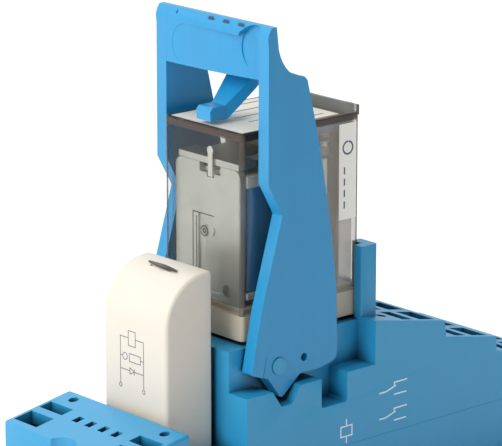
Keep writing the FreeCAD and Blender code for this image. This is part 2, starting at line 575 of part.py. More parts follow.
# ---- write every node ---------------------------------------------------------------------------
def main():
    """Build and write the nodes."""
    os.makedirs("parts", exist_ok=True)
    export("socket_body", [socket_body()])
    export("socket_base", [socket_base()])
    export("rail_latch", [rail_latch()])
    export("rail_latch_spring", [coil_spring((30.1, 0, -30.0), (1, 0, 0), 8.3, 1.1, 0.2, 6)])
    for tier in TIERS:
        name = tier["name"]
        z0 = tier["clamp_z"]
        export(name + "_strips", [strip(tier, p, c) for p, c in zip(POLES, COLUMNS)])
        export(name + "_cage_clamps", [cage_clamp(tier["x1"], 1, y, z0, z0 + 0.65) for y in COLUMNS])
    export("coil_strips", [coil_strip(p, c) for p, c in zip(COIL_POLES, COIL_COLUMNS)])
    export("coil_cage_clamps", [cage_clamp(COIL_FRONT, -1, y, -21.4, COIL_CLAMP_Z + 0.3) for y in COIL_COLUMNS])
    forks = [blade_fork(x, y) for x in (NC_X, NO_X, COM_X) for y in POLES]
    forks += [blade_fork(COIL_X, y) for y in COIL_POLES]
    export("blade_forks", forks)
    export("module_forks", [module_fork(y) for y in COIL_POLES])

    export("retaining_clip", [retaining_clip()])

    export("module_housing", [module_housing()])
    export("module_base", [module_base()])
    export("module_pins", [module_pin(y) for y in COIL_POLES])
    board_x = PIN_X - 2.2
    export("module_board", [box(board_x - 0.6, board_x + 0.6, -6.5, 6.5, TROUGH_FLOOR + 1.9, 7.0)])
    export("module_light", [fuse([cyl_z(-23.1, 0, 1.5, 6.6, 10.2), cyl_z(-23.1, 0, 1.8, 6.0, 6.6)])])
    export("module_diode", [cyl_z(board_x + 2.0, 3.0, 1.3, -6.0, -1.0)])
    export("module_resistor", [cyl_z(board_x + 1.9, -3.0, 1.15, -8.0, -1.5)])

    export("relay_cover", [relay_cover()])
    export("relay_base", [relay_base()])
    export("top_label", [box(-12.95, 9.65, -9.45, 9.45, RELAY_H - 0.2, RELAY_H - 0.05)])
    export("side_label", [box(8.9, 13.0, -RELAY_Y / 2 - 0.1, -RELAY_Y / 2, 18.0, 35.4)])
    export("no_terminals", [no_terminal(y) for y in POLES])
    export("nc_terminals", [nc_terminal(y) for y in POLES])
    export("com_terminals", [blade(COM_X, y, 24.0) for y in POLES])
    export("coil_terminals", [blade(COIL_X, y, 6.75) for y in COIL_POLES])
    export("no_tips", [cyl_z(8.6, y, 1.1, 29.5, 30.7) for y in POLES])
    export("nc_tips", [cyl_z(8.45, y, 1.1, 33.2, 33.7) for y in POLES])
    export("com_braids", [com_braid(y) for y in POLES])
    fins = [box(1.5, 10.0, y - 0.3, y + 0.3, 5.65, 27.8) for y in (-4.4, 0, 4.4)]
    export("pole_partition", [fuse([box(0.9, 1.6, -9.3, 9.3, 5.65, 28.4)] + fins)])
    export("coil_bobbin", [bobbin()])
    export("coil_winding", [winding(0).cut(cyl_z(CORE_X, 0, 3.32, 0, 40))])
    export("coil_tape", [winding(0.25).cut(winding(0.02))])
    export("yoke", [yoke()])
    export("core", [core()])
    export("armature", [armature()])
    export("contact_carrier", [contact_carrier()])
    export("moving_springs", [moving_spring(y) for y in POLES])
    export("moving_tips", [moving_tip(y) for y in POLES])
    export("return_spring", [coil_spring((-0.9, 0, 27.05), (0, 0, 1), 3.3, 0.95, 0.15, 4)])
    export("test_button", [button()])


main()
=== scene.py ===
"""Looks of a plug-in relay in its rail-mount socket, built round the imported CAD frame.

The CAD nodes keep their shapes. Moulded parts are shown as copies with softened edges, prints and
markings are thin solids worked out with numpy, and every surface has a procedural finish.
Lengths in the classes are millimetres, and MM turns them into scene metres.
"""

import json
import logging
import math
from dataclasses import dataclass, field
from enum import Enum

import bmesh
import bpy
import numpy as np
from mathutils import Matrix, Vector

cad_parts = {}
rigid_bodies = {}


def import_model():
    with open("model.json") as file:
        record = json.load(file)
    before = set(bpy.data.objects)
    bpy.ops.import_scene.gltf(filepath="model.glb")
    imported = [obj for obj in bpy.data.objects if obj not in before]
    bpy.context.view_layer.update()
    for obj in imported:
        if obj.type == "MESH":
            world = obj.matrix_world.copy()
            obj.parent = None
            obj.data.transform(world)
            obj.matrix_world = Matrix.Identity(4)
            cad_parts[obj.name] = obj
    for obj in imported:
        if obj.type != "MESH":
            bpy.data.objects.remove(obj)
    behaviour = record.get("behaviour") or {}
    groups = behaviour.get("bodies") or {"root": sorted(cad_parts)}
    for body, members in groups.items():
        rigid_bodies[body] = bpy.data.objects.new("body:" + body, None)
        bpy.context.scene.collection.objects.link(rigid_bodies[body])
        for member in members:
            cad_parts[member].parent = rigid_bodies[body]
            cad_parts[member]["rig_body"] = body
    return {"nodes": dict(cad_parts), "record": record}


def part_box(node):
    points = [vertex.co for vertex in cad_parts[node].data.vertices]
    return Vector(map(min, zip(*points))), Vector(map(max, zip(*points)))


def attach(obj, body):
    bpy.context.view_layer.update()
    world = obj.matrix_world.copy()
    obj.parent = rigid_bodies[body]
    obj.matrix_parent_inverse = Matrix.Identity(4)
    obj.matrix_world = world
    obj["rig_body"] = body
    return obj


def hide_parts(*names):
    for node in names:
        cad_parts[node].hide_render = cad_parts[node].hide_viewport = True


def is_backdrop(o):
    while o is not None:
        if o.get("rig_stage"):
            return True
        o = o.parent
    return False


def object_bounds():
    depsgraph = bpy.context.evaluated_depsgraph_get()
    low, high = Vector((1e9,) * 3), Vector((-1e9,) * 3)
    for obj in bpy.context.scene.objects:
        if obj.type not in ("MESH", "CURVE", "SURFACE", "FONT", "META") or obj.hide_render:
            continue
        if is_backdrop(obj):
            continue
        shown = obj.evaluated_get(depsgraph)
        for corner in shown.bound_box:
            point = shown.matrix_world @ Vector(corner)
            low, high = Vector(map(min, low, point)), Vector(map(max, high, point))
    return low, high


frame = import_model()

LOG = logging.getLogger("relay")
MM = 0.001
SHARPEST_MITRE = 0.4


# ---- small tools --------------------------------------------------------------------------------
def linear(hex_colour: str) -> tuple[float, float, float, float]:
    """Turn an sRGB hex colour into linear RGBA.

    Args:
        hex_colour: Six hex digits after a hash.

    Returns:
        The linear colour with an alpha of one.
    """
    parts = [int(hex_colour[i:i + 2], 16) / 255 for i in (1, 3, 5)]
    values = [p / 12.92 if p <= 0.04045 else ((p + 0.055) / 1.055) ** 2.4 for p in parts]
    return (values[0], values[1], values[2], 1.0)


def add(tree: bpy.types.NodeTree, kind: str, inputs: dict | None = None,
        **settings: object) -> bpy.types.Node:
    """Add one node with its settings, and link or fill its inputs.

    Args:
        tree: The node tree it goes into.
        kind: The node's type name.
        inputs: Socket name or number to a value or an output socket.
        settings: Properties set on the node.

    Returns:
        The new node.
    """
    node = tree.nodes.new(kind)
    for name, value in settings.items():
        setattr(node, name, value)
    for name, value in (inputs or {}).items():
        if isinstance(value, bpy.types.NodeSocket):
            tree.links.new(value, node.inputs[name])
        else:
            node.inputs[name].default_value = value
    return node


def mesh_object(name: str, points: np.ndarray, faces: list[tuple[int, ...]]) -> bpy.types.Object:
    """Make a mesh object from points in millimetres.

    Args:
        name: Name of the piece.
        points: Array of shape (n, 3).
        faces: Corner numbers of each face.

    Returns:
        The object, at the origin and linked to the scene.
    """
    mesh = bpy.data.meshes.new(name)
    mesh.from_pydata((points * MM).tolist(), [], faces)
    mesh.update()
    piece = bpy.data.objects.new(name, mesh)
    bpy.context.scene.collection.objects.link(piece)
    return piece


def smooth(piece: bpy.types.Object, angle: float = 30.0) -> None:
    """Shade a piece smooth, with edges sharper than an angle in degrees kept sharp."""
    piece.data.shade_smooth()
    piece.data.set_sharp_from_angle(angle=math.radians(angle))


class Face(Enum):
    """A flat outer face that marks are laid on: the axis across it and its outward sign."""

    NEAR_SIDE = (1, -1)
    FRONT = (0, -1)
    TOP = (2, 1)


def on_face(face: Face, level: float, flat: np.ndarray, lift: np.ndarray) -> np.ndarray:
    """Lay flat points on a face.

    Args:
        face: The face.
        level: Where the face lies along the axis across it, in millimetres.
        flat: Array (n, 2) of places along the other two axes, in X, Y, Z order.
        lift: Array (n,) of heights out of the face.

    Returns:
        Array (n, 3) of points in millimetres.
    """
    axis, sign = face.value
    across = [i for i in range(3) if i != axis]
    points = np.empty((len(flat), 3))
    points[:, axis] = level + sign * lift
    points[:, across] = flat
    return points


def ribbon(path: np.ndarray, width: float) -> tuple[np.ndarray, np.ndarray]:
    """Left and right edges of a line drawn along a path, with mitred corners.

    Each corner moves along the mean of the two runs' normals, by half the width over the cosine of
    half the turn. SHARPEST_MITRE keeps a tight turn from growing a spike.

    Args:
        path: Array (n, 2) of points.
        width: Width of the line, in the path's unit.

    Returns:
        The two edges, each an array (n, 2).
    """
    runs = np.diff(path, axis=0)
    runs /= np.linalg.norm(runs, axis=1)[:, None]
    normals = np.stack([-runs[:, 1], runs[:, 0]], axis=1)
    before = np.vstack([normals[:1], normals])
    after = np.vstack([normals, normals[-1:]])
    mitre = before + after
    mitre /= np.maximum(np.sum(mitre * after, axis=1), SHARPEST_MITRE)[:, None]
    return path + mitre * width / 2, path - mitre * width / 2


def marks(name: str, face: Face, level: float, paths: list[np.ndarray], width: float,
          lift: float = 0.02) -> bpy.types.Object:
    """Thin raised lines on a face, as a pad print leaves them.

    Each path is offset to both sides, and the four edges, two below and two above the face, are joined
    into a bar.

    Args:
        name: Name of the piece.
        face: The face they lie on.
        level: Place of that face along its axis, in millimetres.
        paths: Polylines, each an array (n, 2) in millimetres.
        width: Width of the lines.
        lift: Height of the ink.

    Returns:
        One object that holds every line as a closed box-section bar.
    """
    points, faces, start = [], [], 0
    for path in paths:
        left, right = ribbon(np.asarray(path, float), width)
        n = len(left)
        rings = [on_face(face, level, side, np.full(n, h)) for side, h in
                 ((left, -lift), (right, -lift), (right, lift), (left, lift))]
        points.append(np.stack(rings, axis=1).reshape(-1, 3))
        for i in range(n - 1):
            for k in range(4):
                a, b = start + 4 * i + k, start + 4 * i + (k + 1) % 4
                faces.append((a, b, b + 4, a + 4))
        faces.append(tuple(start + k for k in (3, 2, 1, 0)))
        faces.append(tuple(start + 4 * (n - 1) + k for k in range(4)))
        start += 4 * n
    piece = mesh_object(name, np.vstack(points), faces)
    turn_out(piece)
    return piece


def turn_out(piece: bpy.types.Object) -> None:
    """Point every face of a closed piece outwards.

    Args:
        piece: The piece, whose mesh is changed.
    """
    work = bmesh.new()
    work.from_mesh(piece.data)
    bmesh.ops.recalc_face_normals(work, faces=work.faces)
    work.to_mesh(piece.data)
    work.free()


def arc(cx: float, cz: float, r: float, start: float, end: float, steps: int = 24) -> np.ndarray:
    """Points on a circle's arc between two angles in degrees."""
    t = np.radians(np.linspace(start, end, steps))
    return np.stack([cx + r * np.cos(t), cz + r * np.sin(t)], axis=1)


def rectangle(x0: float, x1: float, z0: float, z1: float) -> np.ndarray:
    """Closed outline of a rectangle, starting at the middle of its lower side."""
    middle = (x0 + x1) / 2
    return np.array([(middle, z0), (x1, z0), (x1, z1), (x0, z1), (x0, z0), (middle, z0)])


# ---- finishes -----------------------------------------------------------------------------------
@dataclass(frozen=True)
class Moulded:
    """Injection-moulded plastic from a spark-eroded tool.

    The eye gets a satin surface with a fine even grain, faint flow mottling and slightly uneven gloss.
    """

    name: str
    colour: str
    roughness: float = 0.42
    ior: float = 1.49
    grain_mm: float = 0.22        # real grain is about 0.05 mm; drawn coarser so that it shows
    grain_depth: float = 0.12
    grain_high_mm: float = 0.02
    flow_mm: float = 9.0          # size of the flow mottling
    mottle: float = 0.05
    draw_mm: float = 0.9          # spacing of the upright streaks
    draw_lines: float = 0.0       # faint upright streaks left by the tool
    sheen_shift: float = 0.10
    glow: float = 0.0             # light scattered inside a pale moulding
    glow_mm: float = 0.8
    well_shade: float = 0.0       # painted shade: darkening in narrow wells and concave corners, for the dark clamp throats and the shade in them
    well_mm: float = 5.0
    well_open: tuple[float, float] = (0.25, 0.60)   # open share of the sky at full and at no darkening

    def material(self) -> bpy.types.Material:
        """Build the node material.

        Returns:
            The material.
        """
        material, tree, shader, place = blank(self.name)
        flow = add(tree, "ShaderNodeTexNoise", {
            "Vector": place, "Scale": 1 / (self.flow_mm * MM), "Detail": 3.0})
        fine = add(tree, "ShaderNodeTexNoise", {
            "Vector": place, "Scale": 1 / (self.grain_mm * MM), "Detail": 2.0})
        pull = add(tree, "ShaderNodeMapping", {"Vector": place, "Scale": (1.0, 1.0, 0.03)})
        streak = add(tree, "ShaderNodeTexNoise", {
            "Vector": pull.outputs[0], "Scale": 1 / (self.draw_mm * MM), "Detail": 2.0})
        tone = add(tree, "ShaderNodeMapRange", {
            "Value": flow.outputs["Fac"], "To Min": 1 - self.mottle, "To Max": 1 + self.mottle})
        lines = add(tree, "ShaderNodeMapRange", {
            "Value": streak.outputs["Fac"], "To Min": 1 - self.draw_lines, "To Max": 1 + self.draw_lines})
        value = add(tree, "ShaderNodeMath", {0: tone.outputs[0], 1: lines.outputs[0]}, operation="MULTIPLY")
        # Painted shade: the colour darkens where ambient occlusion finds little open sky, in narrow wells and
        # concave corners.
        if self.well_shade:
            sky = add(tree, "ShaderNodeAmbientOcclusion", {"Distance": self.well_mm * MM}, samples=8)
            depth = add(tree, "ShaderNodeMapRange", {
                "Value": sky.outputs["AO"], "From Min": self.well_open[0], "From Max": self.well_open[1],
                "To Min": 1 - self.well_shade, "To Max": 1.0})
            value = add(tree, "ShaderNodeMath", {0: value.outputs[0], 1: depth.outputs[0]},
                        operation="MULTIPLY")
        base = add(tree, "ShaderNodeHueSaturation", {"Color": linear(self.colour), "Value": value.outputs[0]})
        gloss = add(tree, "ShaderNodeMapRange", {
            "Value": flow.outputs["Fac"], "To Min": self.roughness - self.sheen_shift / 2,
            "To Max": self.roughness + self.sheen_shift / 2})
        bump = add(tree, "ShaderNodeBump", {
            "Height": fine.outputs["Fac"], "Strength": self.grain_depth, "Distance": self.grain_high_mm * MM})
        tree.links.new(base.outputs[0], shader.inputs["Base Color"])
        tree.links.new(gloss.outputs[0], shader.inputs["Roughness"])
        tree.links.new(bump.outputs[0], shader.inputs["Normal"])
        shader.inputs["IOR"].default_value = self.ior
        if self.glow:
            shader.inputs["Subsurface Weight"].default_value = self.glow
            shader.inputs["Subsurface Scale"].default_value = self.glow_mm * MM
        return material


@dataclass(frozen=True)
class Metal:
    """Rolled or stamped metal strip, with fine streaks along the rolling direction and dull patches."""

    name: str
    colour: str
    roughness: float = 0.35
    streak_mm: float = 0.25       # spacing of the rolling marks, drawn coarser than the real ones
    along: tuple[float, float, float] = (1.0, 1.0, 0.05)
    depth: float = 0.15
    streak_high_mm: float = 0.02
    patch: float = 0.12
    patch_mm: float = 4.0
    duller: float = 0.12          # added to the roughness in the dullest streak
    brighter: float = 0.08        # taken from it in the brightest

    def material(self) -> bpy.types.Material:
        """Build the node material.

        Returns:
            The material.
        """
        material, tree, shader, place = blank(self.name)
        pull = add(tree, "ShaderNodeMapping", {"Vector": place, "Scale": self.along})
        streak = add(tree, "ShaderNodeTexNoise", {
            "Vector": pull.outputs[0], "Scale": 1 / (self.streak_mm * MM), "Detail": 3.0})
        cloud = add(tree, "ShaderNodeTexNoise", {
            "Vector": place, "Scale": 1 / (self.patch_mm * MM), "Detail": 3.0})
        tone = add(tree, "ShaderNodeMapRange", {
            "Value": cloud.outputs["Fac"], "To Min": 1 - self.patch, "To Max": 1 + self.patch})
        base = add(tree, "ShaderNodeHueSaturation", {"Color": linear(self.colour), "Value": tone.outputs[0]})
        gloss = add(tree, "ShaderNodeMapRange", {
            "Value": streak.outputs["Fac"], "To Min": self.roughness - self.brighter,
            "To Max": self.roughness + self.duller})
        bump = add(tree, "ShaderNodeBump", {
            "Height": streak.outputs["Fac"], "Strength": self.depth, "Distance": self.streak_high_mm * MM})
        tree.links.new(base.outputs[0], shader.inputs["Base Color"])
        tree.links.new(gloss.outputs[0], shader.inputs["Roughness"])
        tree.links.new(bump.outputs[0], shader.inputs["Normal"])
        shader.inputs["Metallic"].default_value = 1.0
        return material


@dataclass(frozen=True)
class ClearCase:
    """Slightly smoked polycarbonate, moulded in a polished tool, with a thick rim that gathers colour.

    The wall lets most light through. The long ways through the top plate and the upright corners look
    dark brown, less so at the lit corner on the coil end's near side, which is a painted highlight. The
    contact end is drawn denser and paler than the real wall, which is even all over: it is a painted
    reflection, standing for the bright reflections and the lit pieces seen behind there.
    """

    name: str
    wall: str
    rim: str
    low: tuple[float, float, float]
    high: tuple[float, float, float]
    rim_mm: float = 1.4
    corner_mm: float = 0.80
    corner_blend_mm: float = 0.15
    # painted highlight: the lit corner gathers less rim colour than the dark ones
    lit_corner_share: float = 0.55
    dark_corner_share: float = 0.95
    corner_sums: tuple[float, float] = (-20.0, -8.0)   # X plus Y at the lit corner and at the dark ones
    wall_alpha: float = 0.15
    # painted reflection: the contact end is denser and paler than the real wall
    contact_alpha: float = 0.38
    contact_painted_reflection: str = "#B5B0A5"
    contact_starts: tuple[float, float] = (-2.0, 3.0)   # X where the denser end starts and is full
    hood_share: float = 0.35      # colour gathered in the upright faces of the raised hood
    rim_alpha: float = 0.88
    wave_mm: float = 7.0          # long soft waves of the moulded wall
    wave_high_mm: float = 0.05

    def material(self) -> bpy.types.Material:
        """Build the node material, with the rim and the upright corners found by their place.

        Returns:
            The material.
        """
        material, tree, shader, place = blank(self.name)
        axes = add(tree, "ShaderNodeSeparateXYZ", {0: place})
        band_low, band_high = (self.high[2] - self.rim_mm) * MM, self.high[2] * MM
        in_band = add(tree, "ShaderNodeMapRange", {
            "Value": axes.outputs[2], "From Min": band_low - 0.1 * MM, "From Max": band_low})
        below_top = add(tree, "ShaderNodeMapRange", {
            "Value": axes.outputs[2], "From Min": band_high - 0.10 * MM, "From Max": band_high - 0.25 * MM})
        band = add(tree, "ShaderNodeMath", {0: in_band.outputs[0], 1: below_top.outputs[0]},
                   operation="MULTIPLY")
        near_edge = []
        for number in (0, 1):
            edge = (self.high[number] - self.low[number]) / 2 - self.corner_mm
            side = add(tree, "ShaderNodeMath", {0: axes.outputs[number]}, operation="ABSOLUTE")
            near_edge.append(add(tree, "ShaderNodeMapRange", {
                "Value": side.outputs[0], "From Min": (edge - self.corner_blend_mm) * MM,
                "From Max": (edge + self.corner_blend_mm) * MM}))
        corner = add(tree, "ShaderNodeMath", {0: near_edge[0].outputs[0], 1: near_edge[1].outputs[0]},
                     operation="MULTIPLY")
        # Painted highlight: the share of rim colour is lower at the lit corner than at the dark ones.
        diagonal = add(tree, "ShaderNodeMath", {0: axes.outputs[0], 1: axes.outputs[1]}, operation="ADD")
        share = add(tree, "ShaderNodeMapRange", {
            "Value": diagonal.outputs[0], "From Min": self.corner_sums[0] * MM,
            "From Max": self.corner_sums[1] * MM, "To Min": self.lit_corner_share,
            "To Max": self.dark_corner_share})
        soft_corner = add(tree, "ShaderNodeMath", {0: corner.outputs[0], 1: share.outputs[0]},
                          operation="MULTIPLY")
        solid = add(tree, "ShaderNodeMath", {0: band.outputs[0], 1: soft_corner.outputs[0]},
                    operation="MAXIMUM")
        facing = add(tree, "ShaderNodeSeparateXYZ", {0: place.node.outputs["Normal"]})
        flat = add(tree, "ShaderNodeMath", {0: facing.outputs[2]}, operation="ABSOLUTE")
        upright = add(tree, "ShaderNodeMapRange", {
            "Value": flat.outputs[0], "From Min": 0.6, "From Max": 0.3})
        above = add(tree, "ShaderNodeMapRange", {
            "Value": axes.outputs[2], "From Min": band_high, "From Max": band_high + 0.1 * MM})
        raised = add(tree, "ShaderNodeMath", {0: upright.outputs[0], 1: above.outputs[0]},
                     operation="MULTIPLY")
        hood = add(tree, "ShaderNodeMath", {0: raised.outputs[0], 1: self.hood_share}, operation="MULTIPLY")
        thick = add(tree, "ShaderNodeMath", {0: solid.outputs[0], 1: hood.outputs[0]}, operation="MAXIMUM")
        # Painted reflection: the wall turns denser and paler towards the contact end.
        dense = add(tree, "ShaderNodeMapRange", {
            "Value": axes.outputs[0], "From Min": self.contact_starts[0] * MM,
            "From Max": self.contact_starts[1] * MM})
        wall = add(tree, "ShaderNodeMix", {
            "Factor": dense.outputs[0], 6: linear(self.wall), 7: linear(self.contact_painted_reflection)}, data_type="RGBA")
        colour = add(tree, "ShaderNodeMix", {
            "Factor": thick.outputs[0], 6: wall.outputs[2], 7: linear(self.rim)}, data_type="RGBA")
        wall_and_reflection_alpha = add(tree, "ShaderNodeMapRange", {
            "Value": dense.outputs[0], "To Min": self.wall_alpha, "To Max": self.contact_alpha})
        alpha = add(tree, "ShaderNodeMapRange", {
            "Value": thick.outputs[0], "To Min": wall_and_reflection_alpha.outputs[0], "To Max": self.rim_alpha})
        wave = add(tree, "ShaderNodeTexNoise", {
            "Vector": place, "Scale": 1 / (self.wave_mm * MM), "Detail": 1.0})
        bump = add(tree, "ShaderNodeBump", {
            "Height": wave.outputs["Fac"], "Strength": 0.15, "Distance": self.wave_high_mm * MM})
        tree.links.new(colour.outputs[2], shader.inputs["Base Color"])
        tree.links.new(alpha.outputs[0], shader.inputs["Alpha"])
        tree.links.new(bump.outputs[0], shader.inputs["Normal"])
        shader.inputs["Roughness"].default_value = 0.06
        shader.inputs["IOR"].default_value = 1.58
        return material


@dataclass(frozen=True)
class Film:
    """Glossy polyester film wound on the coil: an even colour with soft creases along the winding."""

    name: str
    colour: str
    roughness: float = 0.22
    crease_mm: float = 2.5
    crease_high_mm: float = 0.1

    def material(self) -> bpy.types.Material:
        """Build the node material.

        Returns:
            The material.
        """
        material, tree, shader, place = blank(self.name)
        pull = add(tree, "ShaderNodeMapping", {"Vector": place, "Scale": (0.35, 0.35, 1.0)})
        crease = add(tree, "ShaderNodeTexNoise", {
            "Vector": pull.outputs[0], "Scale": 1 / (self.crease_mm * MM), "Detail": 2.0})
        tone = add(tree, "ShaderNodeMapRange", {
            "Value": crease.outputs["Fac"], "To Min": 0.85, "To Max": 1.15})
        base = add(tree, "ShaderNodeHueSaturation", {"Color": linear(self.colour), "Value": tone.outputs[0]})
        bump = add(tree, "ShaderNodeBump", {
            "Height": crease.outputs["Fac"], "Strength": 0.35, "Distance": self.crease_high_mm * MM})
        tree.links.new(base.outputs[0], shader.inputs["Base Color"])
        tree.links.new(bump.outputs[0], shader.inputs["Normal"])
        shader.inputs["Roughness"].default_value = self.roughness
        shader.inputs["Coat Weight"].default_value = 0.4
        return material


@dataclass(frozen=True)
class Paper:
    """Coated label stock, ink or painted card: matt, with an uneven tone.

    Real fibre and ink grain are too fine to show, so both are drawn at about 0.3 mm.
    """

    name: str
    colour: str
    roughness: float = 0.62
    fibre_mm: float = 0.3

    def material(self) -> bpy.types.Material:
        """Build the node material.

        Returns:
            The material.
        """
        material, tree, shader, place = blank(self.name)
        fibre = add(tree, "ShaderNodeTexNoise", {
            "Vector": place, "Scale": 1 / (self.fibre_mm * MM), "Detail": 4.0})
        tone = add(tree, "ShaderNodeMapRange", {
            "Value": fibre.outputs["Fac"], "To Min": 0.94, "To Max": 1.05})
        base = add(tree, "ShaderNodeHueSaturation", {"Color": linear(self.colour), "Value": tone.outputs[0]})
        tree.links.new(base.outputs[0], shader.inputs["Base Color"])
        shader.inputs["Roughness"].default_value = self.roughness
        return material


def blank(name: str) -> tuple[bpy.types.Material, bpy.types.NodeTree, bpy.types.Node, bpy.types.NodeSocket]:
    """Start a node material.

    Args:
        name: The material's name.

    Returns:
        The material, its tree, its Principled shader and the Object coordinates socket.
    """
    material = bpy.data.materials.new(name)
    material.use_nodes = True
    tree = material.node_tree
    tree.nodes.clear()
    shader = add(tree, "ShaderNodeBsdfPrincipled")
    add(tree, "ShaderNodeOutputMaterial", {"Surface": shader.outputs[0]})
    place = add(tree, "ShaderNodeTexCoord").outputs["Object"]
    return material, tree, shader, place


def corners(node: str) -> tuple[tuple[float, float, float], tuple[float, float, float]]:
    """Lowest and highest corners of a CAD node in millimetres."""
    low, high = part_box(node)
    return tuple(v / MM for v in low), tuple(v / MM for v in high)


@dataclass
class Palette:
    """Every finish of the object, built once and kept by the record slot's or the marking's name."""

    made: dict[str, bpy.types.Material] = field(default_factory=dict)

    def build(self) -> None:
        """Make the materials, keyed by the record's slot names or a marking's name."""
        low, high = corners("relay_cover")
        flush_top = corners("top_label")[1][2] + 0.05
        finishes = {
            # the socket's blue gets painted shade in its wells and concave corners
            "socket_blue": Moulded("socket_polycarbonate_blue", "#2491C2", 0.40, ior=1.585, draw_lines=0.02,
                                   well_shade=0.9),
            "clip_blue": Moulded("clip_polyamide_blue", "#1E8CC2", 0.38, ior=1.53, draw_lines=0.05),
            "module_white": Moulded("module_abs_white", "#D5CFC4", 0.45, mottle=0.02, glow=0.15),
            "relay_beige": Moulded("relay_pbt_beige", "#BDB4A2", 0.50, mottle=0.04),
            "bobbin_white": Moulded("bobbin_nylon_white", "#D5D6CF", 0.48, mottle=0.04),
            "button_blue": Moulded("button_acetal_blue", "#55B8E6", 0.33),
            "component_black": Moulded("diode_epoxy_black", "#141416", 0.35),
            "resistor_body": Moulded("resistor_lacquer_blue", "#7DA6B8", 0.30),
            "board_green": Moulded("board_solder_resist_green", "#1E5B34", 0.28),
            "light_clear": Moulded("light_epoxy_green", "#6FBF5A", 0.15, glow=0.5),
            "yoke_steel": Metal("yoke_zinc_plated_steel", "#D2D5CE", 0.42, patch=0.14),
            "spring_steel": Metal("spring_drawn_steel", "#8E8E90", 0.28),
            "clamp_steel": Metal("clamp_chrome_nickel_steel", "#3A3A3C", 0.38),
            "tinned_copper": Metal("strip_tinned_copper", "#B9B19F", 0.34),
            "contact_silver": Metal("contact_silver_nickel", "#D6D6D2", 0.30),
            "copper_wire": Metal("winding_enamelled_copper", "#A8632F", 0.30, along=(0.05, 0.05, 1.0)),
            "smoked_clear": ClearCase("cover_smoked_polycarbonate", "#57534D", "#35261C", low,
                                      (high[0], high[1], flush_top)),
            "tape_blue": Film("coil_polyester_film_blue", "#1A78B0"),
            "label_cream": Paper("label_coated_cream", "#E6E1D6"),
            "label_white": Paper("label_coated_white", "#F6F4EE", 0.45),
            "print_white": Paper("print_white_ink", "#D9E4EC", 0.5),
            "print_grey": Paper("print_grey_ink", "#77787A", 0.5),
            "print_dark": Paper("print_dark_ink", "#24425E", 0.5),
            "stamp_dark": Metal("yoke_stamp_shadow", "#6E716B", 0.55),
            "slit_shadow": Moulded("slit_painted_shadow", "#3A332C", 0.30, mottle=0.15),
            "groove_dark": Paper("groove_shadow_dark", "#1F5F8C", 0.5),
            "groove_blue": Paper("groove_shadow_blue", "#2F7FB4", 0.5),
        }
        for key, finish in finishes.items():
            self.made[key] = finish.material()

    def dress(self, piece: bpy.types.Object, key: str) -> None:
        """Give a piece one finish all over.

        Args:
            piece: The piece.
            key: The finish's name in the palette.
        """
        piece.data.materials.clear()
        piece.data.materials.append(self.made[key])


PALETTE = Palette()


# ---- pieces from CAD nodes ----------------------------------------------------------------------
@dataclass
class Assembly:
    """Base of every sub-assembly: a CAD body and the tools that place pieces on it."""

    body: str
    # finish of each node that differs from its record slot
    own_finishes: dict[str, str] = field(default_factory=dict, kw_only=True)

    def seat(self, piece: bpy.types.Object, key: str, slot: str | None = None) -> bpy.types.Object:
        """Dress a new piece and let it ride on this body.

        Args:
            piece: The new piece.
            key: The finish.
            slot: The record's slot, where it isn't the finish's own name. Not used.

        Returns:
            The piece.
        """
        PALETTE.dress(piece, key)
        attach(piece, self.body)
        LOG.info("%s rides on %s", piece.name, self.body)
        return piece

    def softened(self, node: str, key: str, width: float, segments: int = 3) -> bpy.types.Object:
        """Show a CAD node as a copy with softened edges.

        The copy's loose triangles are merged and flat areas joined, and each edge sharper than 35
        degrees is rolled over by a narrow bevel.

        Args:
            node: The CAD node.
            key: Its finish and record slot.
            width: Width of the bevel in millimetres.
            segments: Steps across the bevel.

        Returns:
            The new piece, which replaces the node.
        """
        mesh = frame["nodes"][node].data.copy()
        work = bmesh.new()
        work.from_mesh(mesh)
        bmesh.ops.remove_doubles(work, verts=work.verts, dist=0.002 * MM)
        bmesh.ops.dissolve_limit(work, angle_limit=math.radians(0.4), verts=work.verts, edges=work.edges,
                                 delimit={"NORMAL"})
        work.to_mesh(mesh)
        work.free()
        mesh.name = node + "_soft"
        piece = bpy.data.objects.new(node + "_soft", mesh)
        bpy.context.scene.collection.objects.link(piece)
        bevel = piece.modifiers.new("edges", "BEVEL")
        bevel.width = width * MM
        bevel.segments = segments
        bevel.limit_method = "ANGLE"
        bevel.angle_limit = math.radians(35)
        bevel.use_clamp_overlap = True
        bevel.harden_normals = True
        smooth(piece)
        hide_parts(node)
        return self.seat(piece, key)

    def dress_rest(self) -> None:
        """Give every CAD node of this body that is still shown the finish of its record slot."""
        slots = {entry["node"]: entry["material_slot"] for entry in frame["record"]["subparts"]}
        for node, thing in frame["nodes"].items():
            if thing["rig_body"] == self.body and not thing.hide_render:
                PALETTE.dress(thing, self.own_finishes.get(node, slots[node]))


